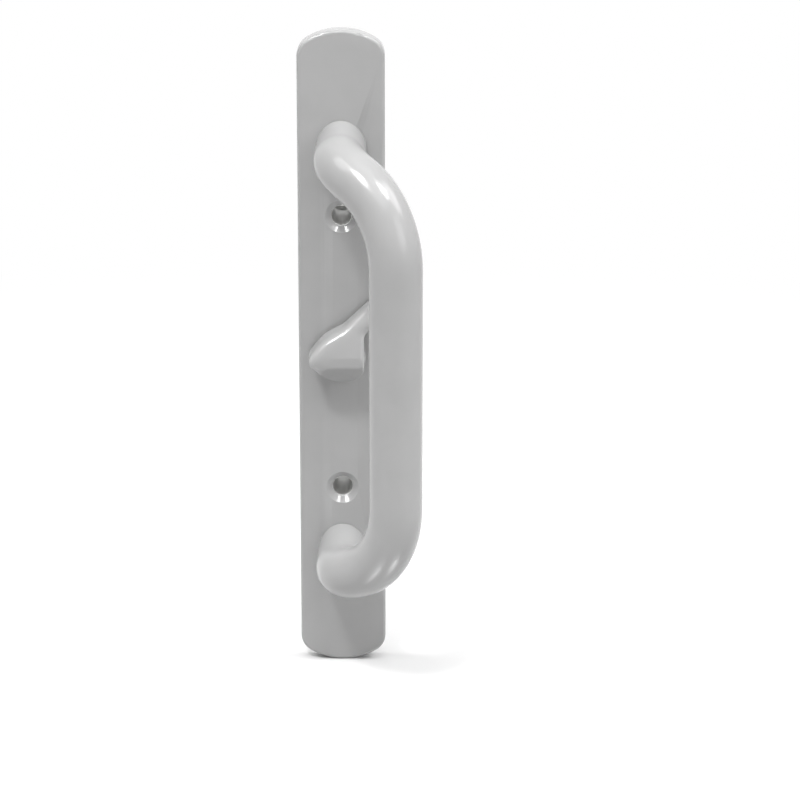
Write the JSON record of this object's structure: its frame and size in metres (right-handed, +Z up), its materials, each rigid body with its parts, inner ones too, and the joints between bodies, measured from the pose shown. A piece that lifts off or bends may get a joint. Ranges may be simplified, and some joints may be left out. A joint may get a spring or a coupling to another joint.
{
  "type": "sliding patio door handle",
  "caption": "Interior handle of a sliding patio door: a long escutcheon with a round pull grip offset to one side and a thumb turn that works a tailpiece.",
  "frame": {"origin": "midway between the two mounting holes, on the face of the door that the handle is fixed to", "axes": "+X to the right of a person facing the handle, +Y into the door, +Z up"},
  "size_m": [0.0438, 0.1113, 0.232],
  "materials": {
    "grey_paint": "satin light grey paint",
    "zinc_plate": "bright zinc plated",
    "spring_steel": "dark oiled",
    "bush_plastic": "matte acetal"
  },
  "bodies": {
    "escutcheon": {"escutcheon": "grey_paint", "grip": "grey_paint", "grip_screw_upper": "zinc_plate", "grip_screw_lower": "zinc_plate", "lock_washer_upper": "zinc_plate", "lock_washer_lower": "zinc_plate", "spindle_bush": "bush_plastic", "thrust_washer": "zinc_plate"},
    "thumb_turn": {"thumb_turn": "grey_paint", "grub_screw": "spring_steel", "spindle": "zinc_plate", "spring_washer": "spring_steel", "stop_cam": "zinc_plate", "retaining_ring": "spring_steel", "tailpiece": "zinc_plate", "tailpiece_pin": "spring_steel"}
  },
  "joints": [
    {"name": "thumb_turn_pivot", "type": "hinge", "parent": "escutcheon", "child": "thumb_turn", "pos_m": [0, 0, 0], "axis": [0, 1, 0], "range_deg": [0, 90]}
  ]
}
